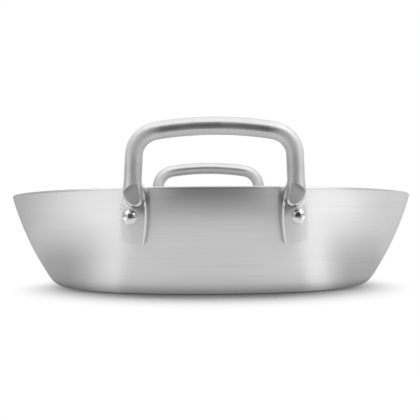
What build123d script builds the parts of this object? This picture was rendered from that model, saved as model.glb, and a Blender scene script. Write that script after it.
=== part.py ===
from build123d import *
from math import acos, asin, atan2, cos, hypot, pi, radians, sin, sqrt, tan
import os

# Two-handled aluminium frying pan, in millimetres.
# Origin at the middle of the underside, +Z up, the front handle towards -Y.

# Pan body, spun from one sheet
rim_radius = 170.0  # outermost reach of the rim
pan_height = 77.0  # underside to the top of the rim
base_radius = 124.0  # flat part of the underside
corner_radius = 18.0  # outside, from the flat base into the wall
wall_bow_radius = 240.0  # outside, of the wall's long outward curve
sheet_thickness = 3.0

# Handles, each one rod with its ends pressed flat
rod_diameter = 12.0
rod_lift = 0.8  # back of the round rod in front of the back of its lug
leg_splay = 4.0  # degrees that each leg leans towards the other, going up
grip_rise = 39.0  # middle of the grip above the rim
grip_bow_radius = 236.0  # centre line, of the grip's slight arch
leg_bend_radius = 18.5  # centre line, from a leg into the grip

# Lugs, the flattened ends
lug_thickness = 5.4
lug_width = 20.6  # at its widest
lug_widest_drop = 3.0  # widest place, below the rivet
lug_foot_width = 16.8
lug_foot_drop = 21.0  # lower edge, below the rivet
lug_foot_corner = 2.5
lug_neck_width = 13.2
lug_neck_rise = 18.0  # where the lug starts to run out behind the rod, above the rivet
lug_edge_radius = 0.8  # round the front
neck_blend_length = 8.0  # over which the lug runs out
nose_width = 13.2  # of the rod's swollen lower end
nose_tip_rise = 9.4  # rounded tip of the nose, above the rivet
swell_rise = 31.0  # where the rod starts to swell, above the rivet
nose_step = 2.3  # of the nose's tip above the lug's face
facet_depth = 2.8  # of the pressed facet's upper end below the rod's front
facet_edge_radius = 1.0
shoulder_rise = 25.6  # top of the shoulder over the facet, above the rivet
shoulder_slope = 50.0  # degrees of the shoulder to the rod's front
shoulder_turn = 35.0  # degrees that the shoulder climbs towards the handle's middle

# Rivets
rivet_spacing = 114.4  # between the two rivets of a handle, on the outside of the wall
rivet_height = 57.7  # on the outside of the wall
rivet_offset = 2.0  # outwards of the lug's middle
shank_diameter = 6.0
shank_clearance = 0.05  # all round the shank
head_diameter = 11.8
head_height = 4.2
inner_head_diameter = 11.0
inner_head_height = 2.0

# Values that follow from the sizes
half_sheet = sheet_thickness / 2
rod_radius = rod_diameter / 2
rod_axis_height = rod_radius + rod_lift  # above the back of the lug
nose_radius = nose_width / 2
nose_centre_rise = nose_tip_rise + nose_radius
cutter_size = 4 * lug_width  # any length that clears a lug all round


def wall_arc_centre():
    """Radius and height of the centre of the wall's bow, which ends in the rim and runs into the corner."""
    rim = (rim_radius - half_sheet, pan_height - half_sheet)
    corner = (base_radius, corner_radius)
    to_rim = wall_bow_radius - half_sheet
    to_corner = wall_bow_radius - corner_radius
    gap = hypot(rim[0] - corner[0], rim[1] - corner[1])
    along = (to_corner**2 - to_rim**2 + gap**2) / (2 * gap)
    off = sqrt(to_corner**2 - along**2)
    step = ((rim[0] - corner[0]) / gap, (rim[1] - corner[1]) / gap)
    return (corner[0] + along * step[0] - off * step[1], corner[1] + along * step[1] + off * step[0])


# Slopes say how far the wall's outward normal dips, in radians
bow_r, bow_z = wall_arc_centre()
rim_slope = atan2(bow_z - pan_height + half_sheet, rim_radius - half_sheet - bow_r)
corner_slope = atan2(bow_z - corner_radius, base_radius - bow_r)
rivet_slope = asin((bow_z - rivet_height) / wall_bow_radius)


def section_arc(centre_r, centre_z, radius, start, end):
    """An arc of the pan's section in the XZ plane, between two slopes."""
    slopes = (start, (start + end) / 2, end)
    return ThreePointArc(*[(centre_r + radius * cos(s), 0, centre_z - radius * sin(s)) for s in slopes])


def pan_section():
    """Half section of the pan: flat base, corner, bowed wall and a fully rounded rim."""
    inner_corner = corner_radius - sheet_thickness
    inner_bow = wall_bow_radius - sheet_thickness
    underside = Line((0, 0, 0), (base_radius, 0, 0))
    corner = section_arc(base_radius, corner_radius, corner_radius, pi / 2, corner_slope)
    wall = section_arc(bow_r, bow_z, wall_bow_radius, corner_slope, rim_slope)
    lip_r, lip_z = rim_radius - half_sheet, pan_height - half_sheet
    lip = section_arc(lip_r, lip_z, half_sheet, rim_slope, rim_slope - pi)
    inner_wall = section_arc(bow_r, bow_z, inner_bow, rim_slope, corner_slope)
    inner_turn = section_arc(base_radius, corner_radius, inner_corner, corner_slope, pi / 2)
    floor = Line(inner_turn @ 1, (0, 0, sheet_thickness))
    axis = Line(floor @ 1, (0, 0, 0))
    return make_face([underside, corner, wall, lip, inner_wall, inner_turn, floor, axis])


def wall_band(inwards, outwards):
    """A ring in the wall's curve, past a lug's ends, from inwards of the outer face to outwards of it."""
    reach = cutter_size / 2 / wall_bow_radius
    low, high = rivet_slope + reach, rivet_slope - reach
    inner = section_arc(bow_r, bow_z, wall_bow_radius - inwards, low, high)
    outer = section_arc(bow_r, bow_z, wall_bow_radius + outwards, low, high)
    ends = [Line(inner @ 0, outer @ 0), Line(inner @ 1, outer @ 1)]
    return revolve(make_face([inner, outer, *ends]), Axis.Z)


def rivet_frame():
    """The wall's point and outward normal at the right-hand front rivet, with its angle round the pan."""
    r = bow_r + wall_bow_radius * cos(rivet_slope)
    angle = asin(rivet_spacing / 2 / r)
    point = Vector(r * sin(angle), -r * cos(angle), rivet_height)
    normal = Vector(cos(rivet_slope) * sin(angle), -cos(rivet_slope) * cos(angle), -sin(rivet_slope))
    return point, normal


def lean_of_handle(normal):
    """How far the handle leans out, in radians, with its legs flat along their lugs."""
    along_wall = atan2(-normal.Z, -normal.Y)
    from_splay = asin(tan(radians(leg_splay)) * normal.X / hypot(normal.Y, normal.Z))
    return along_wall + from_splay


rivet_point, wall_normal = rivet_frame()
handle_lean = lean_of_handle(wall_normal)
splay = radians(leg_splay)
leg_direction = Vector(-sin(splay), -cos(splay) * sin(handle_lean), cos(splay) * cos(handle_lean))

# The right-hand front lug: X away from the handle's middle, Y up along the leg, Z out of the wall
lug_plane = Plane(origin=rivet_point, x_dir=leg_direction.cross(wall_normal), z_dir=wall_normal)


def on_lug(x, y, height):
    """A place on the lug, measured from the rivet: across, up, and out of the wall's tangent plane."""
    return lug_plane.from_local_coords(Vector(x, y, height))


def foremost(faces):
    """The face whose middle stands furthest out of the wall."""
    return max(faces, key=lambda face: lug_plane.to_local_coords(face.center()).Z)


def facing_out(faces):
    """The face that faces most squarely out of the wall."""
    return max(faces, key=lambda face: face.normal_at(face.center()).dot(lug_plane.z_dir))


def handle_path():
    """Centre line of the round rod: up a splayed leg, over the arched grip and down the other leg."""
    foot = on_lug(-rivet_offset, swell_rise, rod_axis_height)
    plane_normal = (0, -cos(handle_lean), -sin(handle_lean))
    plane = Plane(origin=(0, foot.Y, foot.Z), x_dir=(1, 0, 0), z_dir=plane_normal)
    grip_top = (pan_height + grip_rise - foot.Z) / cos(handle_lean)
    bow = Vector(0, grip_top - grip_bow_radius)
    up_leg = Vector(-sin(splay), cos(splay))
    inwards = Vector(-cos(splay), -sin(splay))
    start = Vector(foot.X, 0)
    from_bow = start + inwards * leg_bend_radius - bow
    reach = grip_bow_radius - leg_bend_radius
    along = from_bow.dot(up_leg)
    leg_length = -along + sqrt(along**2 - from_bow.dot(from_bow) + reach**2)
    bend_start = start + up_leg * leg_length
    bend_centre = bend_start + inwards * leg_bend_radius
    to_grip = (bend_centre - bow).normalized()
    bend_end = bow + to_grip * grip_bow_radius
    bend_middle = bend_centre + (to_grip - inwards).normalized() * leg_bend_radius
    right = [start, bend_start, bend_middle, bend_end]
    left = [Vector(-point.X, point.Y) for point in right]
    path = [
        Line(left[0], left[1]),
        ThreePointArc(left[1], left[2], left[3]),
        ThreePointArc(left[3], (0, grip_top), right[3]),
        ThreePointArc(right[3], right[2], right[1]),
        Line(right[1], right[0]),
    ]
    return plane * Wire(path)


def facet_cutter():
    """Takes off the front of the rod's end, from the nose's tip up to a steep shoulder."""
    front = rod_axis_height + rod_radius
    low_height = lug_thickness + nose_step
    steep = radians(shoulder_slope)
    top_rise = shoulder_rise - facet_depth / tan(steep)
    slope = atan2(front - facet_depth - low_height, top_rise - nose_tip_rise)
    normal = lug_plane.z_dir * cos(slope) - lug_plane.y_dir * sin(slope)
    tip = on_lug(-rivet_offset, nose_tip_rise, low_height)
    facet = Plane(origin=tip, x_dir=lug_plane.x_dir, z_dir=normal)
    climb = radians(shoulder_turn)
    uphill = lug_plane.y_dir * cos(climb) + lug_plane.x_dir * sin(climb)
    along = lug_plane.x_dir * cos(climb) - lug_plane.y_dir * sin(climb)
    into_rod = uphill * sin(steep) - lug_plane.z_dir * cos(steep)
    shoulder = Plane(origin=on_lug(-rivet_offset, shoulder_rise, front), x_dir=along, z_dir=into_rod)
    half_space = Box(cutter_size, cutter_size, cutter_size, align=(Align.CENTER, Align.CENTER, Align.MIN))
    return facet * half_space - shoulder * half_space


def nose():
    """The rod's lower end: swollen to a rounded tip, with its front pressed to a facet under a shoulder."""
    origin = on_lug(-rivet_offset, nose_centre_rise, rod_axis_height)
    axis_plane = Plane(origin=origin, x_dir=lug_plane.x_dir, z_dir=lug_plane.y_dir)
    top = swell_rise - nose_centre_rise
    tangent = atan2(top, rod_radius) - acos(nose_radius / hypot(top, rod_radius))
    middle = (tangent - pi / 2) / 2
    tip = ThreePointArc(
        (0, -nose_radius),
        (nose_radius * cos(middle), nose_radius * sin(middle)),
        (nose_radius * cos(tangent), nose_radius * sin(tangent)),
    )
    rest = Polyline(tip @ 1, (rod_radius, top), (0, top), tip @ 0)
    outline = [tip, *rest.edges()]
    pressed = axis_plane * revolve(Plane.XZ * make_face(outline), Axis.Z) - facet_cutter()
    facet = facing_out(pressed.faces().filter_by(GeomType.PLANE))
    return fillet(facet.edges(), facet_edge_radius) - wall_band(sheet_thickness, 0)


def rod():
    """The round rod."""
    path = handle_path()
    start = Plane(origin=path @ 0, z_dir=path % 0)
    return sweep(start * Circle(rod_radius), path=path)


def lug_outline():
    """Leaf shape, widest below the rivet, with a flat foot and a neck that runs out behind the rod."""
    foot_end = (lug_foot_width / 2, -lug_foot_drop)
    widest = (lug_width / 2, -lug_widest_drop)
    neck = (lug_neck_width / 2, lug_neck_rise)
    top_end = (rod_radius - lug_thickness / 2, lug_neck_rise + neck_blend_length)
    half = [ThreePointArc(foot_end, widest, neck), Line(neck, top_end)]
    other = [mirror(edge, Plane.YZ) for edge in half]
    foot = Line(foot_end, (-foot_end[0], foot_end[1]))
    top = Line(top_end, (-top_end[0], top_end[1]))
    leaf = make_face([*half, *other, foot, top])
    corners = leaf.vertices().group_by(Axis.Y)[0]
    return Pos(-rivet_offset, 0) * fillet(corners, lug_foot_corner)


def neck_cutter():
    """Slants the back of the lug's upper end forwards, into the rod."""
    slope = atan2(lug_thickness, neck_blend_length)
    normal = -lug_plane.z_dir * cos(slope) + lug_plane.y_dir * sin(slope)
    origin = on_lug(-rivet_offset, lug_neck_rise, 0)
    back = Plane(origin=origin, x_dir=lug_plane.x_dir, z_dir=normal)
    return back * Box(cutter_size, cutter_size, cutter_size, align=(Align.CENTER, Align.CENTER, Align.MIN))


def lug():
    """The right-hand flattened end, which follows the wall with its back and its front."""
    blank = extrude(lug_plane * lug_outline(), cutter_size / 2, both=True)
    plate = blank & wall_band(0, lug_thickness)
    return fillet(foremost(plate.faces()).edges(), lug_edge_radius) - neck_cutter()


def rivet_bore():
    """Hole through the right-hand lug and the wall."""
    return lug_plane * Cylinder(shank_diameter / 2 + shank_clearance, cutter_size)


def front_handle():
    """One handle: the rod with a drilled lug at each end."""
    end = lug() + nose() - rivet_bore()
    return rod() + end + mirror(end, Plane.YZ)


def dome(diameter, height, seat, sink):
    """A rivet head: a cap of this height over its seat, with a rim that starts below the seat."""
    radius = diameter / 2
    cap = (radius**2 + height**2) / (2 * height)
    half_angle = atan2(height, radius)
    middle = (cap * sin(half_angle), seat + height - cap * (1 - cos(half_angle)))
    curve = ThreePointArc((radius, seat), middle, (0, seat + height))
    rim = Polyline((0, seat + height), (0, seat - sink), (radius, seat - sink), (radius, seat))
    return revolve(Plane.XZ * make_face([curve, *rim.edges()]), Axis.Z)


def front_right_rivet():
    """Solid rivet with its outer dome seated on the lug and its low inner head on the wall's inside."""
    sink = half_sheet / 2
    outer = dome(head_diameter, head_height, lug_thickness, sink)
    inner = mirror(dome(inner_head_diameter, inner_head_height, sheet_thickness, sink), Plane.XY)
    heads = lug_plane * (outer + inner) - wall_band(sheet_thickness, lug_thickness)
    grip_length = lug_thickness + sheet_thickness
    middle = (lug_thickness - sheet_thickness) / 2
    shank = lug_plane * Pos(0, 0, middle) * Cylinder(shank_diameter / 2, grip_length + 2 * sink)
    return heads + shank


def all_round(shape):
    """The four copies of a front right piece, by its place on the pan."""
    left = mirror(shape, Plane.YZ)
    half_turn = Rot(0, 0, 180)
    return {
        "front_right": shape,
        "front_left": left,
        "rear_left": half_turn * shape,
        "rear_right": half_turn * left,
    }


def pan_body():
    """The spun pan, drilled for four rivets."""
    solid = revolve(pan_section(), Axis.Z)
    for bore in all_round(rivet_bore()).values():
        solid -= bore
    return solid


def main():
    os.makedirs("parts", exist_ok=True)
    handle = front_handle()
    nodes = {
        "pan_body": pan_body(),
        "front_handle": handle,
        "rear_handle": Rot(0, 0, 180) * handle,
    }
    for place, rivet in all_round(front_right_rivet()).items():
        nodes[f"{place}_rivet"] = rivet
    for name, shape in nodes.items():
        print(name, len(shape.solids()), round(shape.volume, 1), shape.is_valid)
        export_step(shape, f"parts/{name}.step")


main()
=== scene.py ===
import math

import bmesh
import bpy
import numpy as np
from mathutils import Matrix, Vector


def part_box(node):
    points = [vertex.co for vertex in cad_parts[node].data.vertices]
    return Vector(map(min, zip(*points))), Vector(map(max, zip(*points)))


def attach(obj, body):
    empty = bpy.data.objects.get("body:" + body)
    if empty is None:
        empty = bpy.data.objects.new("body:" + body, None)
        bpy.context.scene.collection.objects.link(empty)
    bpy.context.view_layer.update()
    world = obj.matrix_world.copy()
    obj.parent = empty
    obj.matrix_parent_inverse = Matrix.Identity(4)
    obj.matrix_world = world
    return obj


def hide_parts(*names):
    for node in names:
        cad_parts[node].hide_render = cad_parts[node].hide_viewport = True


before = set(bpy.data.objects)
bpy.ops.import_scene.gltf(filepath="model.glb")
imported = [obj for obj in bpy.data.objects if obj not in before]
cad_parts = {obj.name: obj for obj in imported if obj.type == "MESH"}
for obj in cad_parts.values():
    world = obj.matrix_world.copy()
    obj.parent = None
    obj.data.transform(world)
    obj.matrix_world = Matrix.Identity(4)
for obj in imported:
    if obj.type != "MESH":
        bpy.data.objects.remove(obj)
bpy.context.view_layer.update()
print("frame loaded, nodes:", ", ".join(sorted(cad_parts)))

mm = 0.001
fullTurn = 2 * math.pi
weldGap = 0.001 * mm


# small helpers for node trees

def addNode(tree, kind, inputs=None, **settings):
    node = tree.nodes.new(kind)
    for name, value in settings.items():
        setattr(node, name, value)
    for name, value in (inputs or {}).items():
        if isinstance(value, bpy.types.NodeSocket):
            tree.links.new(value, node.inputs[name])
        else:
            node.inputs[name].default_value = value
    return node


def mathNode(tree, operation, a, b=0.0):
    return addNode(tree, "ShaderNodeMath", {0: a, 1: b}, operation=operation).outputs[0]


def plus(tree, a, b):
    return mathNode(tree, "ADD", a, b)


def times(tree, a, b):
    return mathNode(tree, "MULTIPLY", a, b)


def joinXyz(tree, x, y, z):
    return addNode(tree, "ShaderNodeCombineXYZ", {0: x, 1: y, 2: z}).outputs[0]


def splitXyz(tree, vector):
    return addNode(tree, "ShaderNodeSeparateXYZ", {0: vector}).outputs


def lengthOf(tree, vector):
    return addNode(tree, "ShaderNodeVectorMath", {0: vector}, operation="LENGTH").outputs["Value"]


def objectCoords(tree):
    return addNode(tree, "ShaderNodeTexCoord").outputs["Object"]


def meanOf(tree, a, b):
    return times(tree, plus(tree, a, b), 0.5)


def noise(tree, vector, scale, detail, roughness):
    return addNode(tree, "ShaderNodeTexNoise", {
        "Vector": vector, "Scale": scale, "Detail": detail, "Roughness": roughness}).outputs["Fac"]


def grey(tone):
    return (tone, tone, tone, 1)


def mixColours(tree, share, a, b):
    mixed = addNode(tree, "ShaderNodeMix", {"Factor": share, "A": a, "B": b}, data_type="RGBA")
    return mixed.outputs["Result"]


def mapRange(tree, value, low, high, start=0.0, end=1.0, curve="LINEAR"):
    return addNode(tree, "ShaderNodeMapRange", {
        "Value": value, "From Min": low, "From Max": high, "To Min": start, "To Max": end},
        interpolation_type=curve).outputs["Result"]


def smoothRange(tree, value, low, high, start=0.0, end=1.0):
    return mapRange(tree, value, low, high, start, end, "SMOOTHSTEP")


def rampNode(tree, value, stops):
    ramp = addNode(tree, "ShaderNodeValToRGB", {"Fac": value})
    points = ramp.color_ramp.elements
    while len(points) > 1:
        points.remove(points[-1])
    points[0].position, points[0].color = stops[0][0], grey(stops[0][1])
    for place, tone in stops[1:]:
        points.new(place).color = grey(tone)
    return ramp.outputs["Color"]


def bumpNode(tree, strength, depth, height, **under):
    return addNode(tree, "ShaderNodeBump", {
        "Strength": strength, "Distance": depth, "Height": height, **under}).outputs["Normal"]


def newMaterial(name):
    material = bpy.data.materials.new(name)
    material.use_nodes = True
    material.node_tree.nodes.clear()
    return material, material.node_tree


def finishMaterial(tree, shader):
    addNode(tree, "ShaderNodeOutputMaterial", {"Surface": shader})


def finishMetal(tree, inputs):
    metal = addNode(tree, "ShaderNodeBsdfPrincipled", {"Metallic": 1.0, **inputs})
    finishMaterial(tree, metal.outputs[0])


def newTree(name, inputs, output):
    tree = bpy.data.node_groups.new(name, "GeometryNodeTree")
    for title, kind in inputs.items():
        tree.interface.new_socket(title, in_out="INPUT", socket_type="NodeSocket" + kind)
    tree.interface.new_socket(output, in_out="OUTPUT", socket_type="NodeSocketGeometry")
    return tree, tree.nodes.new("NodeGroupInput").outputs, tree.nodes.new("NodeGroupOutput")


def endTree(tree, geometry, finish, out):
    real = addNode(tree, "GeometryNodeRealizeInstances", {"Geometry": geometry})
    painted = addNode(tree, "GeometryNodeSetMaterial", {
        "Geometry": real.outputs[0], "Material": finish})
    tree.links.new(painted.outputs[0], out.inputs[0])
    return tree


def runTree(obj, tree, values):
    # inputs are set by identifier before the object is first evaluated
    modifier = obj.modifiers.new(tree.name, "NODES")
    modifier.node_group = tree
    names = {item.name: item.identifier for item in tree.interface.items_tree if item.in_out == "INPUT"}
    for name, value in values.items():
        modifier[names[name]] = value
    bpy.context.view_layer.update()
    mesh = bpy.data.meshes.new_from_object(obj.evaluated_get(bpy.context.evaluated_depsgraph_get()))
    obj.modifiers.clear()
    mesh.name = obj.name
    obj.data = mesh


def newObject(name, points, edges=(), faces=()):
    mesh = bpy.data.meshes.new(name)
    mesh.from_pydata([tuple(p) for p in points], list(edges), list(faces))
    obj = bpy.data.objects.new(name, mesh)
    bpy.context.scene.collection.objects.link(obj)
    return obj


def chainObject(name, points):
    return newObject(name, points, [(i, i + 1) for i in range(len(points) - 1)])


def faceOutwards(obj):
    shape = bmesh.new()
    shape.from_mesh(obj.data)
    bmesh.ops.remove_doubles(shape, verts=shape.verts, dist=weldGap)
    bmesh.ops.recalc_face_normals(shape, faces=shape.faces)
    if shape.calc_volume(signed=True) < 0:
        bmesh.ops.reverse_faces(shape, faces=shape.faces)
    for face in shape.faces:
        face.smooth = True
    shape.to_mesh(obj.data)
    shape.free()


# pan: one spun sheet

panLow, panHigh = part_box("pan_body")
pan = {
    "rimRadius": (panHigh.x - panLow.x) / 2,
    "height": panHigh.z,
    "baseRadius": 124.0 * mm,
    "cornerRadius": 18.0 * mm,
    "wallBow": 240.0 * mm,
    "sheet": 3.0 * mm,
    "stepsRound": 320,
    "cornerStep": 1.6,  # degrees between points on the corner
    "flatPoints": 24,
    "wallSteps": 48,
    "lipSteps": 24,
}
spunLook = {
    "tones": (0.71, 0.81),
    "rough": (0.32, 0.42),
    "noiseSpan": (0.3, 0.7),  # most of what a noise gives
    "lines": (1500.0, 5.0),  # how fast they change, across the lines and round the pan
    "bands": (260.0, 1.6),
    # scale, detail and roughness
    "lineNoise": (1.0, 3.0, 0.6),
    "bandNoise": (1.0, 4.0, 0.55),
    "smudgeNoise": (14.0, 3.0, 0.5),
    "hub": 0.5 * mm,
    "bump": (0.25, 0.04 * mm),  # strength and depth
    "glossStretch": 0.75,
    "glossTurn": 0.25,
}


def bowCentre():
    # centre of the wall's long bow, which runs from the corner to the rim
    half = pan["sheet"] / 2
    rim = Vector((pan["rimRadius"] - half, pan["height"] - half))
    corner = Vector((pan["baseRadius"], pan["cornerRadius"]))
    toRim = pan["wallBow"] - half
    toCorner = pan["wallBow"] - pan["cornerRadius"]
    gap = (rim - corner).length
    along = (toCorner**2 - toRim**2 + gap**2) / (2 * gap)
    off = math.sqrt(toCorner**2 - along**2)
    step = (rim - corner) / gap
    return corner + along * step + off * Vector((-step.y, step.x))


bow = bowCentre()
lip = (pan["rimRadius"] - pan["sheet"] / 2, pan["height"] - pan["sheet"] / 2)
rimSlope = math.atan2(bow.y - lip[1], lip[0] - bow.x)
cornerSlope = math.atan2(bow.y - pan["cornerRadius"], pan["baseRadius"] - bow.x)


def sectionArc(centre, radius, start, end, steps):
    slopes = np.linspace(start, end, steps + 1)
    return [(centre[0] + radius * math.cos(s), 0, centre[1] - radius * math.sin(s)) for s in slopes]


def panSection():
    # closed half section from the middle of the underside round to the middle of the floor
    sheet, outside = pan["sheet"], pan["cornerRadius"]
    corner = (pan["baseRadius"], outside)
    down = math.pi / 2
    cornerSteps = int(math.degrees(down - cornerSlope) / pan["cornerStep"])
    flat = [(pan["baseRadius"] * share, 0, 0) for share in np.linspace(0, 1, pan["flatPoints"])[:-1]]
    points = list(flat)
    points += sectionArc(corner, outside, down, cornerSlope, cornerSteps)
    points += sectionArc(bow, pan["wallBow"], cornerSlope, rimSlope, pan["wallSteps"])[1:]
    points += sectionArc(lip, sheet / 2, rimSlope, rimSlope - math.pi, pan["lipSteps"])[1:]
    points += sectionArc(bow, pan["wallBow"] - sheet, rimSlope, cornerSlope, pan["wallSteps"])[1:]
    points += sectionArc(corner, outside - sheet, cornerSlope, down, cornerSteps)[1:]
    points += [(x, 0, sheet) for x, _, _ in reversed(flat)]
    return points


def spinTree():
    # turns a section, a chain of points with X as its radius, once round Z
    tree, given, out = newTree(
        "spinSection", {"Section": "Geometry", "Steps round": "Int", "Finish": "Material"}, "Spun")
    count = addNode(tree, "GeometryNodeAttributeDomainSize", {"Geometry": given["Section"]})
    across = plus(tree, given["Steps round"], 1.0)
    grid = addNode(tree, "GeometryNodeMeshGrid", {
        "Vertices X": count.outputs["Point Count"], "Vertices Y": across})
    index = addNode(tree, "GeometryNodeInputIndex").outputs[0]
    row = mathNode(tree, "FLOOR", mathNode(tree, "DIVIDE", index, across))
    column = mathNode(tree, "SUBTRACT", index, times(tree, row, across))
    sample = addNode(tree, "GeometryNodeSampleIndex", {
        "Geometry": given["Section"], "Index": row}, data_type="FLOAT_VECTOR", domain="POINT")
    tree.links.new(addNode(tree, "GeometryNodeInputPosition").outputs[0], sample.inputs["Value"])
    reach, _, height = splitXyz(tree, sample.outputs[0])
    turn = times(tree, mathNode(tree, "DIVIDE", column, given["Steps round"]), fullTurn)
    spot = joinXyz(tree, times(tree, reach, mathNode(tree, "COSINE", turn)),
                   times(tree, reach, mathNode(tree, "SINE", turn)), height)
    moved = addNode(tree, "GeometryNodeSetPosition", {
        "Geometry": grid.outputs["Mesh"], "Position": spot})
    closed = addNode(tree, "GeometryNodeMergeByDistance", {
        "Geometry": moved.outputs[0], "Distance": 2 * weldGap})
    smooth = addNode(tree, "GeometryNodeSetShadeSmooth", {"Geometry": closed.outputs[0]})
    return endTree(tree, smooth.outputs[0], given["Finish"], out)


def spunFinish():
    # satin aluminium with fine lines round the pan
    material, tree = newMaterial("spunAluminium")
    coords = objectCoords(tree)
    x, y, z = splitXyz(tree, coords)
    radius = mathNode(tree, "SQRT", plus(tree, times(tree, x, x), times(tree, y, y)))
    along = plus(tree, radius, z)
    safe = mathNode(tree, "MAXIMUM", radius, spunLook["hub"])
    east, north = mathNode(tree, "DIVIDE", x, safe), mathNode(tree, "DIVIDE", y, safe)

    def roundPan(across, around):
        return joinXyz(tree, times(tree, along, across),
                       times(tree, east, around), times(tree, north, around))

    lines = noise(tree, roundPan(*spunLook["lines"]), *spunLook["lineNoise"])
    bands = noise(tree, roundPan(*spunLook["bands"]), *spunLook["bandNoise"])
    smudges = noise(tree, coords, *spunLook["smudgeNoise"])
    satin = meanOf(tree, lines, smudges)
    gloss = addNode(tree, "ShaderNodeTangent", direction_type="RADIAL", axis="Z")
    finishMetal(tree, {
        "Base Color": mixColours(tree, bands, *map(grey, spunLook["tones"])),
        "Roughness": mapRange(tree, satin, *spunLook["noiseSpan"], *spunLook["rough"]),
        "Normal": bumpNode(tree, *spunLook["bump"], plus(tree, lines, bands)),
        "Tangent": gloss.outputs["Tangent"],
        "Anisotropic": spunLook["glossStretch"],
        "Anisotropic Rotation": spunLook["glossTurn"]})
    return material


spinner = spinTree()
panShell = chainObject("panShell", panSection())
runTree(panShell, spinner, {"Steps round": pan["stepsRound"], "Finish": spunFinish()})
faceOutwards(panShell)
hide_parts("pan_body")
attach(panShell, "root")
print("pan spun:", len(panShell.data.polygons), "faces")


# where the rivets and lugs sit on the wall

rivet = {
    "spacing": 114.4 * mm,
    "height": 57.7 * mm,
    "headDiameter": 11.8 * mm,
    "headHeight": 4.2 * mm,
    "headSteps": 22,
    "innerDiameter": 11.0 * mm,
    "innerHeight": 2.0 * mm,
    "innerSteps": 14,
    "sink": 0.75 * mm,
    "shank": 6.0 * mm,
    "stepsRound": 64,
}
rivetSlope = math.asin((bow.y - rivet["height"]) / pan["wallBow"])
rivetRadius = bow.x + pan["wallBow"] * math.cos(rivetSlope)
rivetTurn = math.asin(rivet["spacing"] / 2 / rivetRadius)
rivetEast, rivetSouth = math.sin(rivetTurn), -math.cos(rivetTurn)
rivetPlace = Vector((rivetRadius * rivetEast, rivetRadius * rivetSouth, rivet["height"]))
wallNormal = Vector((
    math.cos(rivetSlope) * rivetEast, math.cos(rivetSlope) * rivetSouth, -math.sin(rivetSlope)))


# handles: round rod with forged, flattened ends

handle = {
    "rodRadius": 6.0 * mm,
    "rodLift": 0.8 * mm,
    "legSplay": math.radians(4.0),
    "gripRise": 39.0 * mm,
    "gripBow": 236.0 * mm,
    "legBend": 18.5 * mm,
    "lugThickness": 5.4 * mm,
    "lugWidth": 20.6 * mm,
    "widestDrop": 3.0 * mm,
    "footWidth": 16.8 * mm,
    "footDrop": 21.0 * mm,
    "footCorner": 2.5 * mm,
    "neckInside": 7.8 * mm,  # half width towards the handle's middle
    "neckOutside": 6.6 * mm,
    "neckRise": 18.0 * mm,
    "neckLength": 8.0 * mm,
    "noseWidth": 13.2 * mm,
    "noseTip": 9.4 * mm,
    "noseShift": 1.5 * mm,  # towards the handle's middle, at its tip
    "swellRise": 31.0 * mm,
    "facetLow": 2.3 * mm,  # height of the facet over the lug's face, at the nose's tip
    "facetDeep": 2.8 * mm,  # and under the rod's front, at its top
    "shoulderRise": 25.6 * mm,
    "shoulderSlope": math.radians(50.0),
    "shoulderTurn": 0.7,  # how much further up it reaches towards the handle's middle
    "shoulderBlend": 0.8 * mm,
    "rivetOffset": 2.0 * mm,
    "lugEdge": 1.4 * mm,
    "backEdge": 0.2 * mm,
    "facetEdge": 1.7 * mm,  # at the nose's tip
    "facetSide": 0.5 * mm,
    "blendInside": 3.2 * mm,  # crease of the nose towards the handle's middle
    "blendOutside": 4.2 * mm,  # and away from it
    "endTop": 36.0 * mm,
    "ringPoints": 160,
    "legRings": 26,
    "bendRings": 44,
    "gripRings": 30,
}

# rubbing on the ends, which also gives a painted highlight, and painted shade on them; each fade given
# as where it is 0 and where it is 1
marks = {
    "skin": (0.45 * mm, 0.15 * mm),  # depth under an edge
    "faceSkin": (0.40 * mm, 0.15 * mm),
    "facetSkin": (0.48 * mm, 0.18 * mm),
    "facetReach": 0.3 * mm,
    # painted shade on the facet
    "facetShade": 0.6,
    # the rubbing in the next entries also lightens the colour as a painted highlight
    "sideRubbedHighlight": 0.25,  # share of the tip's rubbing that the facet's sides have
    "rubWidth": 0.625,  # share of an edge's rounding
    "faceRubbedHighlight": 0.22,  # 1 as on an edge
    # painted shade in the crease where nose and lug meet
    "creaseShade": 0.92,
    "creaseReach": (5.04 * mm, 1.44 * mm),  # from where nose and lug meet
    # painted shade on the lug's face beside the nose, towards the handle's middle
    "cornerShade": 0.85,
    "cornerRise": (0.0, 9.0 * mm),
    "cornerSide": (-1.0 * mm, -4.5 * mm),
    "sideFade": (-4.0 * mm, 4.0 * mm),  # from the handle's middle outwards
    # heights over the nose's middle
    "shiftFade": (4.0 * mm, -5.0 * mm),
    "tipFade": (1.5 * mm, -4.5 * mm),
    "creaseTop": (0.5 * mm, -2.5 * mm),
}

# how the rings round a forged end are found
search = {
    "footTurnIn": 1.2 * mm,
    "footRings": 9,
    "footStart": 0.04,  # radians into the turn-in
    "ringStep": 0.4 * mm,
    "lineLow": 2.4 * mm,  # height over the wall of the line that the rays leave
    "lineRise": (16.0 * mm, 34.0 * mm),
    "evenRise": (14.0 * mm, 32.0 * mm),
    "boxHalf": (9.6 * mm, 3.0 * mm),  # half of its width and thickness
    "boxSteps": 4000,
    "tries": (0.25 * mm, 15.0 * mm, 60),  # first and last distance along a ray, and how many
    "longest": 16.0 * mm,
    "halvings": 18,
}


def handleLean():
    alongWall = math.atan2(-wallNormal.z, -wallNormal.y)
    steepness = math.hypot(wallNormal.y, wallNormal.z)
    fromSplay = math.asin(math.tan(handle["legSplay"]) * wallNormal.x / steepness)
    return alongWall + fromSplay


lean = handleLean()
splay = handle["legSplay"]
legUp = Vector((-math.sin(splay), -math.cos(splay) * math.sin(lean), math.cos(splay) * math.cos(lean)))
lugAcross = legUp.cross(wallNormal)
lugFrame = np.array([lugAcross, legUp, wallNormal])
rodAxis = handle["rodRadius"] + handle["rodLift"]
noseRadius = handle["noseWidth"] / 2
noseMiddle = handle["noseTip"] + noseRadius


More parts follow.
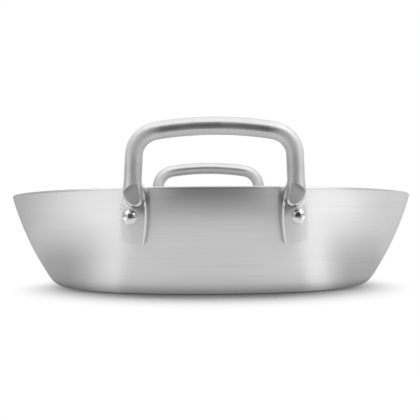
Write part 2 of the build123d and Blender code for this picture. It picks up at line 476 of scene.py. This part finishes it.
def fade(value, start, end):
    # 0 up to start and 1 from end on, whichever of them is the higher
    share = np.clip((value - start) / (end - start), 0, 1)
    return share * share * (3 - 2 * share)


def softUnion(a, b, size):
    share = np.clip(0.5 + 0.5 * (b - a) / size, 0, 1)
    return b * (1 - share) + a * share - size * share * (1 - share)


def roundCut(a, b, radius):
    # where both are negative, with the edge between them rounded
    outside = np.hypot(np.maximum(a + radius, 0), np.maximum(b + radius, 0))
    return np.minimum(np.maximum(a, b) + radius, 0) + outside - radius


def rubbedHighlight(a, b, radius):
    # 1 where an edge is fully round, 0 off it
    return fade(np.minimum(a, b) + radius, 0, marks["rubWidth"] * radius)


def circleThrough(a, b, c):
    (ax, ay), (bx, by), (cx, cy) = a, b, c
    d = 2 * (ax * (by - cy) + bx * (cy - ay) + cx * (ay - by))
    aa, bb, cc = ax * ax + ay * ay, bx * bx + by * by, cx * cx + cy * cy
    ux = (aa * (by - cy) + bb * (cy - ay) + cc * (ay - by)) / d
    uy = (aa * (cx - bx) + bb * (ax - cx) + cc * (bx - ax)) / d
    return ux, uy, math.hypot(ax - ux, ay - uy)


def leafArc(neck):
    return circleThrough(
        (handle["footWidth"] / 2, -handle["footDrop"]), (handle["lugWidth"] / 2, -handle["widestDrop"]),
        (neck, handle["neckRise"]))


leafInside, leafOutside = leafArc(handle["neckInside"]), leafArc(handle["neckOutside"])


def fromLug(across, up, out):
    # places in the lug's own frame, which starts where the rivet meets the wall
    return (np.array(rivetPlace) + across[..., None] * lugFrame[0] + up[..., None] * lugFrame[1]
            + out[..., None] * lugFrame[2])


def leafLug(side, up, out, offWall):
    # how far a place is outside the flat lug, and how rubbed the lug's edge is there, which also gives
    # a painted highlight
    inner = np.hypot(-side - leafInside[0], up - leafInside[1]) - leafInside[2]
    outer = np.hypot(side - leafOutside[0], up - leafOutside[1]) - leafOutside[2]
    leaf = roundCut(np.where(side < 0, inner, outer), -up - handle["footDrop"], handle["footCorner"])
    overFace = offWall - handle["lugThickness"]
    plate = roundCut(leaf, overFace, handle["lugEdge"])
    wearHighlight = rubbedHighlight(leaf, overFace, handle["lugEdge"]) * fade(plate, *marks["skin"])
    neckSlope = math.atan2(handle["lugThickness"], handle["neckLength"])
    neckBack = (up - handle["neckRise"]) * math.sin(neckSlope) - out * math.cos(neckSlope)
    return roundCut(plate, np.maximum(-offWall, neckBack), handle["backEdge"]), wearHighlight


def pressedNose(side, up, out):
    # the same for the rod's rounded nose with its facet and shoulder, and the painted shade on its
    # facet
    taper = fade(up, handle["swellRise"], noseMiddle)
    thick = handle["rodRadius"] + (noseRadius - handle["rodRadius"]) * taper
    shifted = side + handle["noseShift"] * fade(up - noseMiddle, *marks["shiftFade"])
    fromAxis = np.hypot(shifted, out - rodAxis)
    rod = np.where(up > noseMiddle, fromAxis - thick, np.hypot(fromAxis, up - noseMiddle) - noseRadius)
    front, slope = rodAxis + handle["rodRadius"], handle["shoulderSlope"]
    low, high = handle["lugThickness"] + handle["facetLow"], front - handle["facetDeep"]
    top = handle["shoulderRise"] - handle["facetDeep"] / math.tan(slope)
    tilt = math.atan2(high - low, top - handle["noseTip"])
    facet = (out - low) * math.cos(tilt) - (up - handle["noseTip"]) * math.sin(tilt)
    below = handle["shoulderRise"] - handle["shoulderTurn"] * side - up
    shoulder = below * math.sin(slope) - (front - out) * math.cos(slope)
    cut = softUnion(facet, shoulder, handle["shoulderBlend"])
    tip = fade(up - noseMiddle, *marks["tipFade"])
    edge = handle["facetSide"] + (handle["facetEdge"] - handle["facetSide"]) * tip
    nose = roundCut(rod, cut, edge)
    # rubbing along the facet's edges, also a painted highlight
    wearHighlight = rubbedHighlight(rod, cut, edge) * fade(nose, *marks["skin"]) * (facet < shoulder)
    wearHighlight = wearHighlight * (marks["sideRubbedHighlight"] + (1 - marks["sideRubbedHighlight"]) * tip)
    # painted shade on the facet
    shaded = marks["facetShade"] * fade(np.abs(cut), *marks["facetSkin"])
    return nose, wearHighlight, shaded * (rod < marks["facetReach"])


def forgedEnd(across, up, out):
    # how far a place in the lug's frame is outside the forged end, with its rubbing, which also gives a
    # painted highlight, and its painted shade
    x, y, z = np.moveaxis(fromLug(across, up, out), -1, 0)
    offWall = np.hypot(np.hypot(x, y) - bow.x, z - bow.y) - pan["wallBow"]
    side = across + handle["rivetOffset"]
    plate, edgeWearHighlight = leafLug(side, up, out, offWall)
    nose, tipWearHighlight, shaded = pressedNose(side, up, out)
    nose = np.maximum(nose, -offWall)
    face = fade(np.abs(offWall - handle["lugThickness"]), *marks["faceSkin"])
    outer = fade(side, *marks["sideFade"])
    blend = handle["blendInside"] + (handle["blendOutside"] - handle["blendInside"]) * outer
    # painted shade in the crease where nose and lug meet, and on the lug's face beside it towards the
    # handle's middle
    crease = marks["creaseShade"] * fade(np.abs(plate - nose), *marks["creaseReach"]) * (1 - outer)
    corner = marks["cornerShade"] * fade(up, *marks["cornerRise"])
    corner = corner * fade(side, *marks["cornerSide"]) * face
    crease = np.maximum(crease, corner) * fade(up - noseMiddle, *marks["creaseTop"])
    # rubbing on edges and, fainter, on the lug's face, which also lightens the colour as a painted
    # highlight
    wearHighlight = np.maximum(np.maximum(edgeWearHighlight, tipWearHighlight), marks["faceRubbedHighlight"] * face * (1 - crease))
    return softUnion(plate, nose, blend), wearHighlight, np.maximum(shaded, crease) * (1 - wearHighlight)


def rayAngles(heights):
    # evenly spaced along a flat box where the lug is flat, and round the rod above
    count = handle["ringPoints"]
    wide, thick = search["boxHalf"]
    dense = np.linspace(0, fullTurn, search["boxSteps"], endpoint=False)
    box = 1 / np.maximum(np.abs(np.sin(dense)) / wide, np.abs(np.cos(dense)) / thick)
    xs, zs = box * np.sin(dense), box * np.cos(dense)
    length = np.concatenate([[0], np.cumsum(np.hypot(np.diff(xs), np.diff(zs)))])
    flat = np.interp(np.linspace(0, length[-1] * (1 - 1 / count), count), length, dense)
    even = np.linspace(0, fullTurn, count, endpoint=False)
    rising = fade(heights, *search["evenRise"])[:, None]
    return flat[None, :] * (1 - rising) + even[None, :] * rising


def endRings():
    # closed rings round the forged end, from the foot up, found along rays from a line inside it
    edge, foot, step = search["footTurnIn"], -handle["footDrop"], search["ringStep"]
    turns = np.linspace(search["footStart"], math.pi / 2, search["footRings"])
    turnIn = foot + edge * (1 - np.cos(turns))
    straight = np.arange(foot + edge + step, handle["endTop"], step)
    heights = np.concatenate([turnIn, straight, [handle["endTop"]]])
    angle = rayAngles(heights)
    up = np.repeat(heights[:, None], handle["ringPoints"], 1)
    line = search["lineLow"] + (rodAxis - search["lineLow"]) * fade(heights, *search["lineRise"])

    def along(reach):
        return -handle["rivetOffset"] + reach * np.sin(angle), up, line[:, None] + reach * np.cos(angle)

    near = np.zeros_like(angle)
    far = np.full_like(angle, search["longest"])
    for reach in np.linspace(*search["tries"]):
        inside = forgedEnd(*along(np.full_like(angle, reach)))[0] < 0
        unmet = far >= search["longest"]
        near = np.where(inside & unmet, reach, near)
        far = np.where(~inside & unmet, reach, far)
    for _ in range(search["halvings"]):
        half = (near + far) / 2
        inside = forgedEnd(*along(half))[0] < 0
        near, far = np.where(inside, half, near), np.where(inside, far, half)
    skin = along((near + far) / 2)
    return list(fromLug(*skin)), forgedEnd(*skin)[1:]


def rodStations():
    # rings from a forged end to the grip's middle: place and direction in the handle's plane, and
    # how far up the leg
    swell = (rivetPlace + lugAcross * -handle["rivetOffset"] + legUp * handle["swellRise"]
             + wallNormal * rodAxis)
    gripTop = (pan["height"] + handle["gripRise"] - swell.z) / math.cos(lean)
    bowMiddle = Vector((0, gripTop - handle["gripBow"]))
    start = Vector((swell.x, 0))
    legWay = Vector((-math.sin(splay), math.cos(splay)))
    inwards = Vector((-math.cos(splay), -math.sin(splay)))
    fromBow = start + inwards * handle["legBend"] - bowMiddle
    reach = handle["gripBow"] - handle["legBend"]
    along = fromBow.dot(legWay)
    legLength = -along + math.sqrt(along**2 - fromBow.dot(fromBow) + reach**2)
    bendMiddle = start + legWay * legLength + inwards * handle["legBend"]
    toGrip = (bendMiddle - bowMiddle).normalized()
    bendEnd = math.atan2(toGrip.y, toGrip.x)
    firstUp = handle["endTop"] - handle["swellRise"]
    stations = []
    for distance in np.linspace(firstUp, legLength, handle["legRings"])[1:]:
        stations.append((start + legWay * distance, legWay, distance / legLength))
    for middle, radius, first, last, rings in (
            (bendMiddle, handle["legBend"], splay, bendEnd, handle["bendRings"]),
            (bowMiddle, handle["gripBow"], bendEnd, math.pi / 2, handle["gripRings"])):
        for turn in np.linspace(first, last, rings)[1:]:
            ray = Vector((math.cos(turn), math.sin(turn)))
            stations.append((middle + ray * radius, Vector((-ray.y, ray.x)), 1.0))
    return stations, Vector((0, swell.y, swell.z))


def rodRings():
    stations, origin = rodStations()
    upPlane = Vector((0, -math.sin(lean), math.cos(lean)))
    face = Vector((0, -math.cos(lean), -math.sin(lean)))
    even = np.linspace(0, fullTurn, handle["ringPoints"], endpoint=False)
    rings = []
    for spot, way, share in stations:
        centre = origin + Vector((spot.x, 0, 0)) + upPlane * spot.y
        tangent = Vector((way.x, 0, 0)) + upPlane * way.y
        front = wallNormal.lerp(face, float(fade(share, 0, 1)))
        front = (front - tangent * front.dot(tangent)).normalized()
        sideways = tangent.cross(front)
        rays = [math.cos(a) * front + math.sin(a) * sideways for a in even]
        rings.append(np.array([centre + handle["rodRadius"] * ray for ray in rays]))
    return rings


def loftHandle(name):
    forged, highlightAndShade = endRings()
    right = forged + rodRings()
    rings = right + [ring * np.array([-1, 1, 1]) for ring in reversed(right[:-1])]
    count = handle["ringPoints"]
    steps = [np.linalg.norm(b.mean(0) - a.mean(0)) for a, b in zip(rings, rings[1:])]
    along = np.concatenate([[0], np.cumsum(steps)])
    faces, grain = [], []
    for i in range(len(rings) - 1):
        for k in range(count):
            j = (k + 1) % count
            faces.append((i * count + k, i * count + j, (i + 1) * count + j, (i + 1) * count + k))
            near, far = k / count, (k + 1) / count
            grain += [(along[i], near), (along[i], far), (along[i + 1], far), (along[i + 1], near)]
    points = np.concatenate(rings + [[rings[0].mean(0), rings[-1].mean(0)]])
    last = (len(rings) - 1) * count
    start, end = along[0], along[-1]
    for k in range(count):
        j = (k + 1) % count
        faces.append((len(points) - 2, k, j))
        faces.append((len(points) - 1, last + j, last + k))
        grain += [(start, 0), (start, 0), (start, 1), (end, 0), (end, 1), (end, 0)]
    obj = newObject(name, points, faces=faces)
    # U runs along the rod in metres, V once round it
    obj.data.uv_layers.new(name="rodGrain").data.foreach_set("uv", np.ravel(grain))
    # rubbed edges with a painted highlight, and painted shade, kept on the points
    for title, mark in zip(("wornEdgeHighlight", "paintedShade"), highlightAndShade):
        whole = np.zeros(len(points))
        whole[:mark.size] = mark.ravel()
        whole[last + count - mark.size:last + count] = mark[::-1].ravel()
        obj.data.attributes.new(title, "FLOAT", "POINT").data.foreach_set("value", whole)
    faceOutwards(obj)
    return obj


rodLook = {
    "tones": (0.61, 0.73),
    # rubbed edges are lighter, partly wear and partly a painted highlight
    "wornHighlightTone": 0.9,
    # painted shade on the facet, in the crease and on the lug's face beside the nose
    "paintedShadeTone": 0.2,
    # bends painted lighter as a painted highlight; only their added roughness is real
    "bendHighlightTone": 0.87,
    "rough": (0.34, 0.44),
    "wornRough": 0.2,
    "noiseSpan": (0.35, 0.65),
    "legRougher": 0.14,
    "legFoot": (76.0 * mm, 86.0 * mm),
    "legTop": (100.0 * mm, 114.0 * mm),  # the grip above is rubbed smoother
    "bendRougher": 0.26,  # where bending coarsened the skin
    "bendStart": (33.0 * mm, 47.0 * mm),  # distance from the handle's middle
    "bendFoot": (88.0 * mm, 100.0 * mm),
    "groundLines": (2600.0, 1.5),  # how fast they change, along the rod and round it
    # scale, detail and roughness
    "lineNoise": (1.0, 3.0, 0.6),
    "cloudNoise": (60.0, 5.0, 0.55),
    "bump": (0.3, 0.03 * mm),  # strength and depth
    "glossStretch": 0.7,
    # rings that the riveting tool pressed into the lug
    "ringPitch": 1.5 * mm,
    "ringInside": (8.0 * mm, 9.0 * mm),
    "ringOutside": (13.0 * mm, 10.5 * mm),
    "ringBump": (0.35, 0.08 * mm),
}


def riveterRings(tree, coords):
    folded = addNode(tree, "ShaderNodeVectorMath", {0: coords}, operation="ABSOLUTE").outputs["Vector"]
    middle = (rivetPlace.x, -rivetPlace.y, rivetPlace.z)
    gap = addNode(tree, "ShaderNodeVectorMath", {0: folded, 1: middle}, operation="DISTANCE")
    distance = gap.outputs["Value"]
    wave = mathNode(tree, "SINE", times(tree, distance, fullTurn / rodLook["ringPitch"]))
    around = times(tree, smoothRange(tree, distance, *rodLook["ringInside"]),
                   smoothRange(tree, distance, *rodLook["ringOutside"]))
    return bumpNode(tree, *rodLook["ringBump"], times(tree, wave, around))


def rodFinish():
    # ground round the rod and dull on legs and bends; the bends get a painted highlight, its ends
    # painted shade, and its rubbed edges are lighter, partly wear and partly a painted highlight
    material, tree = newMaterial("rodAluminium")
    coords = objectCoords(tree)
    grain = addNode(tree, "ShaderNodeUVMap", uv_map="rodGrain").outputs[0]
    along, around, _ = splitXyz(tree, grain)
    turn = times(tree, around, fullTurn)
    pace, swing = rodLook["groundLines"]
    ground = joinXyz(tree, times(tree, along, pace),
                     times(tree, mathNode(tree, "COSINE", turn), swing),
                     times(tree, mathNode(tree, "SINE", turn), swing))
    lines = noise(tree, ground, *rodLook["lineNoise"])
    clouds = noise(tree, coords, *rodLook["cloudNoise"])
    # rubbed edges with a painted highlight, and painted shade, read from the points
    wornHighlight = addNode(tree, "ShaderNodeAttribute", attribute_name="wornEdgeHighlight").outputs["Fac"]
    shaded = addNode(tree, "ShaderNodeAttribute", attribute_name="paintedShade").outputs["Fac"]
    sideways, _, height = splitXyz(tree, coords)
    bend = times(tree, smoothRange(tree, height, *rodLook["bendFoot"]),
                 smoothRange(tree, mathNode(tree, "ABSOLUTE", sideways), *rodLook["bendStart"]))
    leg = times(tree, smoothRange(tree, height, *rodLook["legFoot"]),
                smoothRange(tree, height, *rodLook["legTop"], rodLook["legRougher"], 0.0))
    stops = list(zip(rodLook["noiseSpan"], rodLook["tones"]))
    colour = rampNode(tree, meanOf(tree, lines, clouds), stops)
    # bends lightened as a painted highlight, ends darkened as painted shade, rubbed edges lightened as
    # wear and painted highlight
    for share, tone in ((bend, "bendHighlightTone"), (shaded, "paintedShadeTone"), (wornHighlight, "wornHighlightTone")):
        colour = mixColours(tree, share, colour, grey(rodLook[tone]))
    satin = mapRange(tree, clouds, *rodLook["noiseSpan"], *rodLook["rough"])
    duller = plus(tree, leg, times(tree, bend, rodLook["bendRougher"]))
    rings = riveterRings(tree, coords)
    gloss = addNode(tree, "ShaderNodeTangent", direction_type="UV_MAP", uv_map="rodGrain")
    finishMetal(tree, {
        "Base Color": colour,
        "Roughness": mapRange(tree, wornHighlight, 0.0, 1.0, plus(tree, satin, duller), rodLook["wornRough"]),
        "Normal": bumpNode(tree, *rodLook["bump"], plus(tree, lines, clouds), Normal=rings),
        "Tangent": gloss.outputs["Tangent"],
        "Anisotropic": rodLook["glossStretch"]})
    return material


rodAluminium = rodFinish()
frontHandle = loftHandle("frontHandle")
rearHandle = frontHandle.copy()
rearHandle.data = frontHandle.data.copy()
rearHandle.name = rearHandle.data.name = "rearHandle"
rearHandle.data.transform(Matrix.Rotation(math.pi, 4, "Z"))
bpy.context.scene.collection.objects.link(rearHandle)
for piece, node in ((frontHandle, "front_handle"), (rearHandle, "rear_handle")):
    piece.data.materials.append(rodAluminium)
    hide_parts(node)
    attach(piece, "root")
print("handles forged:", len(frontHandle.data.polygons), "faces each")


# rivets: a domed head outside, a low one inside and a shank between them

rivetLook = {
    "tones": (0.74, 0.90),
    "rough": (0.18, 0.30),
    "noiseSpan": (0.3, 0.7),
    "cloudNoise": (320.0, 4.0, 0.5),  # scale, detail and roughness
    "bump": (0.35, 0.3 * mm),  # strength and depth
}


def domeArc(radius, height, seat, steps):
    cap = (radius**2 + height**2) / (2 * height)
    middle = seat + height - cap
    angles = np.linspace(0, 2 * math.atan2(height, radius), steps + 1)
    return [(cap * math.sin(a), 0, middle + cap * math.cos(a)) for a in angles]


def rivetSection():
    outer, inner = rivet["headDiameter"] / 2, rivet["innerDiameter"] / 2
    sink, shank = rivet["sink"], rivet["shank"] / 2
    seat, back = handle["lugThickness"], pan["sheet"]
    top = domeArc(outer, rivet["headHeight"], seat, rivet["headSteps"])
    low = domeArc(inner, rivet["innerHeight"], back, rivet["innerSteps"])
    collar = [(outer, 0, seat - sink), (shank, 0, seat - sink)]
    collar += [(shank, 0, sink - back), (inner, 0, sink - back)]
    return top + collar + [(x, 0, -z) for x, _, z in reversed(low)]


def rivetTree():
    # one rivet spun, then set at both ends of both handles
    tree, given, out = newTree("rivetRow", {
        "Section": "Geometry", "Steps round": "Int", "Finish": "Material", "Turn": "Float",
        "Reach": "Float", "Height": "Float", "Slope": "Float"}, "Rivets")
    spun = addNode(tree, "GeometryNodeGroup", node_tree=spinner)
    for name in ("Section", "Steps round", "Finish"):
        tree.links.new(given[name], spun.inputs[name])
    index = addNode(tree, "GeometryNodeInputIndex").outputs[0]
    rear = mathNode(tree, "GREATER_THAN", index, 1.5)
    sign = mathNode(tree, "SUBTRACT", times(tree, mathNode(tree, "MODULO", index, 2.0), 2.0), 1.0)
    angle = plus(tree, times(tree, sign, given["Turn"]), times(tree, rear, math.pi))
    east = mathNode(tree, "SINE", angle)
    south = times(tree, mathNode(tree, "COSINE", angle), -1.0)

    def outwards(length, height):
        return joinXyz(tree, times(tree, east, length), times(tree, south, length), height)

    spots = addNode(tree, "GeometryNodePoints", {
        "Count": 4, "Position": outwards(given["Reach"], given["Height"])})
    normal = outwards(mathNode(tree, "COSINE", given["Slope"]),
                      times(tree, mathNode(tree, "SINE", given["Slope"]), -1.0))
    turned = addNode(tree, "FunctionNodeAlignRotationToVector", {"Vector": normal}, axis="Z")
    placed = addNode(tree, "GeometryNodeInstanceOnPoints", {
        "Points": spots.outputs[0], "Instance": spun.outputs[0], "Rotation": turned.outputs[0]})
    return endTree(tree, placed.outputs[0], given["Finish"], out)


def rivetFinish():
    # burnished head, smoother than the rod
    material, tree = newMaterial("rivetAluminium")
    clouds = noise(tree, objectCoords(tree), *rivetLook["cloudNoise"])
    finishMetal(tree, {
        "Base Color": mixColours(tree, clouds, *map(grey, rivetLook["tones"])),
        "Roughness": mapRange(tree, clouds, *rivetLook["noiseSpan"], *rivetLook["rough"]),
        "Normal": bumpNode(tree, *rivetLook["bump"], clouds)})
    return material


rivets = chainObject("rivets", rivetSection())
runTree(rivets, rivetTree(), {
    "Steps round": rivet["stepsRound"], "Finish": rivetFinish(), "Turn": rivetTurn,
    "Reach": rivetRadius, "Height": rivet["height"], "Slope": rivetSlope})
faceOutwards(rivets)
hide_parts("front_left_rivet", "front_right_rivet", "rear_left_rivet", "rear_right_rivet")
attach(rivets, "root")
print("rivets set:", len(rivets.data.polygons), "faces")


# studio: white floor, soft light from above, and cards that only the metal sees

studio = {
    "floorSize": 6.0,
    "floorDrop": 0.2 * mm,
    "floorTone": 0.68,
    "floorFade": (0.15, 0.258),
    "fadeSquash": 1.5,  # how much sooner the floor turns white at the sides
    "lampSize": 1.6,
    "lampHeight": 1.3,
    "lampPower": 24.0,
    "roomTone": 0.1,
    "tentRadius": 1.6,
    "tentFoot": -0.01,
    "tentHeight": 1.5,
    "highRadius": 1.55,
    "highFoot": 0.8,
    "overheadHole": 1.0 * mm,
    "overheadTone": 1.25,
    "ringSteps": 96,
    "sheetSteps": 16,
    "cardLift": 0.1 * mm,
    # distances where the floor card's glow goes from near to far, and from there to outer
    "cardNear": (0.17, 0.26),
    "cardOuter": (0.36, 0.6),
    # painted contact shadow, dimming the floor card close to the pan's foot
    "contactShadeTone": 0.26,
    "contactShadeFade": (pan["baseRadius"], 0.152),
    # dark flag on the floor, its edge given as distance and half angle in degrees
    "flagEdge": [(0.305, 10.5), (0.36, 19.0), (0.45, 18.0), (0.80, 29.0)],
    "flagLift": 0.3 * mm,
    "darkTone": 0.015,
    "screenRadius": 0.8,
    "screenHalfAngle": 29.0,
    "screenLow": 0.0,
    "screenHigh": 0.72,
    "stripRadius": 0.212,
    "stripLow": 0.028,
    "stripHigh": 0.050,
    "stripHalfAngle": 25.0,
    # glow by direction in degrees, 0 in front of the pan and 90 on its right
    "stripGlow": [(-26, 0.3), (-15, 0.13), (0, 0.03), (15, 0.15), (26, 0.3)],
    "sideGlow": [
        (-180, 0.45), (-130, 0.5), (-90, 0.4), (-65, 0.35), (-40, 0.5), (40, 0.5), (65, 0.4),
        (90, 0.75), (130, 0.75), (180, 0.45)],
    "highGlow": [
        (-180, 0.45), (-110, 0.5), (-85, 0.8), (-65, 2.0), (-40, 2.0), (-30, 0.5), (25, 0.5),
        (36, 2.8), (66, 2.8), (85, 0.8), (110, 0.5), (180, 0.45)],
    "nearGlow": [
        (-180, 0.4), (-70, 0.4), (-60, 0.42), (-50, 0.58), (-42, 0.85), (-35, 1.0), (-30, 0.76),
        (-16, 0.75), (0, 0.75), (16, 0.76), (30, 0.8), (35, 1.1), (40, 1.1), (46, 0.76), (54, 0.53),
        (75, 0.47), (180, 0.4)],
    "farGlow": [
        (-180, 0.45), (-149, 0.5), (-110, 0.62), (-90, 0.78), (-70, 1.1), (-60, 1.3), (-38, 1.25),
        (-34, 1.0), (-30, 0.65), (-24, 0.7), (-14, 0.88), (14, 0.88), (24, 0.7), (30, 0.65), (34, 1.0),
        (38, 1.32), (58, 1.35), (68, 1.08), (80, 0.9), (95, 0.78), (140, 0.6), (180, 0.45)],
    "outerGlow": [
        (-180, 0.45), (-130, 0.5), (-90, 0.6), (-40, 0.7), (40, 0.85), (90, 0.85), (130, 0.8),
        (180, 0.45)],
}


def glowShader(tree, colour, strength=1.0):
    return addNode(tree, "ShaderNodeEmission", {"Color": colour, "Strength": strength}).outputs[0]


def seenShare(tree):
    # 1 for what the camera sees directly, mirrored or through glass
    rays = addNode(tree, "ShaderNodeLightPath").outputs
    bent = mathNode(tree, "MAXIMUM", rays["Is Glossy Ray"], rays["Is Transmission Ray"])
    return mathNode(tree, "MAXIMUM", rays["Is Camera Ray"], bent)


def floorFinish():
    # lit near the pan, plain white further out
    material, tree = newMaterial("paleFloor")
    squashed = addNode(tree, "ShaderNodeMapping", {
        "Vector": objectCoords(tree), "Scale": (studio["fadeSquash"], 1, 1)}).outputs[0]
    far = smoothRange(tree, lengthOf(tree, squashed), *studio["floorFade"])
    lit = addNode(tree, "ShaderNodeBsdfDiffuse", {"Color": grey(studio["floorTone"])})
    mix = addNode(tree, "ShaderNodeMixShader", {
        0: times(tree, far, seenShare(tree)), 1: lit.outputs[0], 2: glowShader(tree, grey(1.0))})
    finishMaterial(tree, mix.outputs[0])
    return material


def glowByDirection(tree, coords, stops):
    # the ramp runs from behind, round the left, the front at 0.5 and the right
    x, y, _ = splitXyz(tree, coords)
    angle = mathNode(tree, "ARCTAN2", x, times(tree, y, -1.0))
    share = plus(tree, mathNode(tree, "DIVIDE", angle, fullTurn), 0.5)
    return rampNode(tree, share, [(0.5 + degrees / 360, tone) for degrees, tone in stops])


def turnedGlow(name, stops):
    material, tree = newMaterial(name)
    finishMaterial(tree, glowShader(tree, glowByDirection(tree, objectCoords(tree), stops)))
    return material


def plainGlow(name, tone):
    material, tree = newMaterial(name)
    finishMaterial(tree, glowShader(tree, grey(1.0), tone))
    return material


def floorCardFinish():
    # three glows, one outside the other, with a painted contact shadow close to the pan's foot
    material, tree = newMaterial("floorCardGlow")
    coords = objectCoords(tree)
    distance = lengthOf(tree, coords)
    near, far, outer = (
        glowByDirection(tree, coords, studio[name]) for name in ("nearGlow", "farGlow", "outerGlow"))
    inner = mixColours(tree, smoothRange(tree, distance, *studio["cardNear"]), near, far)
    whole = mixColours(tree, smoothRange(tree, distance, *studio["cardOuter"]), inner, outer)
    # painted contact shadow close to the pan's foot
    contactShade = smoothRange(tree, distance, *studio["contactShadeFade"], studio["contactShadeTone"], 1.0)
    finishMaterial(tree, glowShader(tree, whole, contactShade))
    return material


def makeFloor():
    half, depth = studio["floorSize"] / 2, -studio["floorDrop"]
    corners = [(-half, -half, depth), (half, -half, depth), (half, half, depth), (-half, half, depth)]
    floor = newObject("floor", corners, faces=[(0, 1, 2, 3)])
    floor.data.materials.append(floorFinish())


def ringCard(name, inner, outer):
    # a band between two circles, each given as radius and height
    steps = studio["ringSteps"]
    points, faces = [], []
    for i in range(steps):
        a = fullTurn * i / steps
        for radius, height in (inner, outer):
            points.append((radius * math.cos(a), radius * math.sin(a), height))
        j = (i + 1) % steps
        faces.append((2 * i, 2 * j, 2 * j + 1, 2 * i + 1))
    return newObject(name, points, faces=faces)


def frontCard(name, edges):
    # a sheet in front of the pan, through arcs given as distance, half angle and height
    steps, count = studio["sheetSteps"], len(edges)
    points, faces = [], []
    for share in np.linspace(-1, 1, steps + 1):
        for distance, halfAngle, height in edges:
            a = math.radians(halfAngle) * share
            points.append((distance * math.sin(a), -distance * math.cos(a), height))
    for i in range(steps):
        for k in range(count - 1):
            j = i * count + k
            faces.append((j, j + 1, j + count + 1, j + count))
    return newObject(name, points, faces=faces)


def uprightCard(name, kind):
    reach, angle = studio[kind + "Radius"], studio[kind + "HalfAngle"]
    heights = (studio[kind + "Low"], studio[kind + "High"])
    return frontCard(name, [(reach, angle, height) for height in heights])


def makeCards():
    tent, high, hole = studio["tentRadius"], studio["highRadius"], studio["overheadHole"]
    tall, lift = studio["tentHeight"], studio["cardLift"]
    flagEdges = [(reach, angle, studio["flagLift"]) for reach, angle in studio["flagEdge"]]
    cards = (
        (ringCard("tentCard", (tent, studio["tentFoot"]), (tent, tall)),
         turnedGlow("tentCardGlow", studio["sideGlow"])),
        (ringCard("highCard", (high, studio["highFoot"]), (high, tall)),
         turnedGlow("highCardGlow", studio["highGlow"])),
        (ringCard("floorCard", (pan["baseRadius"], lift), (tent, lift)), floorCardFinish()),
        (frontCard("floorFlag", flagEdges), plainGlow("floorFlagGlow", studio["darkTone"])),
        (uprightCard("frontScreen", "screen"), plainGlow("frontScreenGlow", studio["darkTone"])),
        (ringCard("overheadCard", (hole, tall), (tent, tall)),
         plainGlow("overheadGlow", studio["overheadTone"])),
        (uprightCard("frontStrip", "strip"), turnedGlow("stripGlow", studio["stripGlow"])),
    )
    for card, finish in cards:
        card.data.materials.append(finish)
        card.visible_camera = card.visible_diffuse = False
        card.visible_shadow = card.visible_transmission = False


def makeLight():
    lamp = bpy.data.lights.new("softboxAbove", "AREA")
    lamp.shape = "SQUARE"
    lamp.size = studio["lampSize"]
    lamp.energy = studio["lampPower"]
    above = bpy.data.objects.new("softboxAbove", lamp)
    above.location = (0, 0, studio["lampHeight"])
    above.visible_glossy = False
    bpy.context.scene.collection.objects.link(above)


def makeRoom():
    # dim for the light that it gives, white where it is seen
    world = bpy.data.worlds.new("studioRoom")
    bpy.context.scene.world = world
    world.use_nodes = True
    tree = world.node_tree
    tree.nodes.clear()
    room, white = (
        addNode(tree, "ShaderNodeBackground", {"Color": grey(tone), "Strength": 1.0}).outputs[0]
        for tone in (studio["roomTone"], 1.0))
    mix = addNode(tree, "ShaderNodeMixShader", {0: seenShare(tree), 1: room, 2: white})
    addNode(tree, "ShaderNodeOutputWorld", {"Surface": mix.outputs[0]})
    world.cycles.sampling_method = "NONE"


makeFloor()
makeCards()
makeLight()
makeRoom()
print("studio built")


# camera: low, square on to the front handle

view = {
    "distance": 755.0 * mm,
    "height": 44.2 * mm,
    "turn": math.radians(-0.85),
    "aim": math.radians(0.067),
    "tilt": math.radians(1.59),
    "roll": math.radians(-0.38),
    "lens": 73.54,
    "sensor": 36.0,
}


def makeCamera():
    lens = bpy.data.cameras.new("bench")
    lens.sensor_width = view["sensor"]
    lens.lens = view["lens"]
    camera = bpy.data.objects.new("bench", lens)
    east, south = view["distance"] * math.sin(view["turn"]), view["distance"] * math.cos(view["turn"])
    turn = Matrix.Rotation(view["turn"] + view["aim"], 4, "Z")
    tilt = Matrix.Rotation(math.pi / 2 + view["tilt"], 4, "X")
    roll = Matrix.Rotation(view["roll"], 4, "Z")
    camera.matrix_world = Matrix.Translation((east, -south, view["height"])) @ turn @ tilt @ roll
    bpy.context.scene.collection.objects.link(camera)
    bpy.context.scene.camera = camera
    bpy.context.scene.view_settings.view_transform = "Standard"


makeCamera()

print("scene ready")
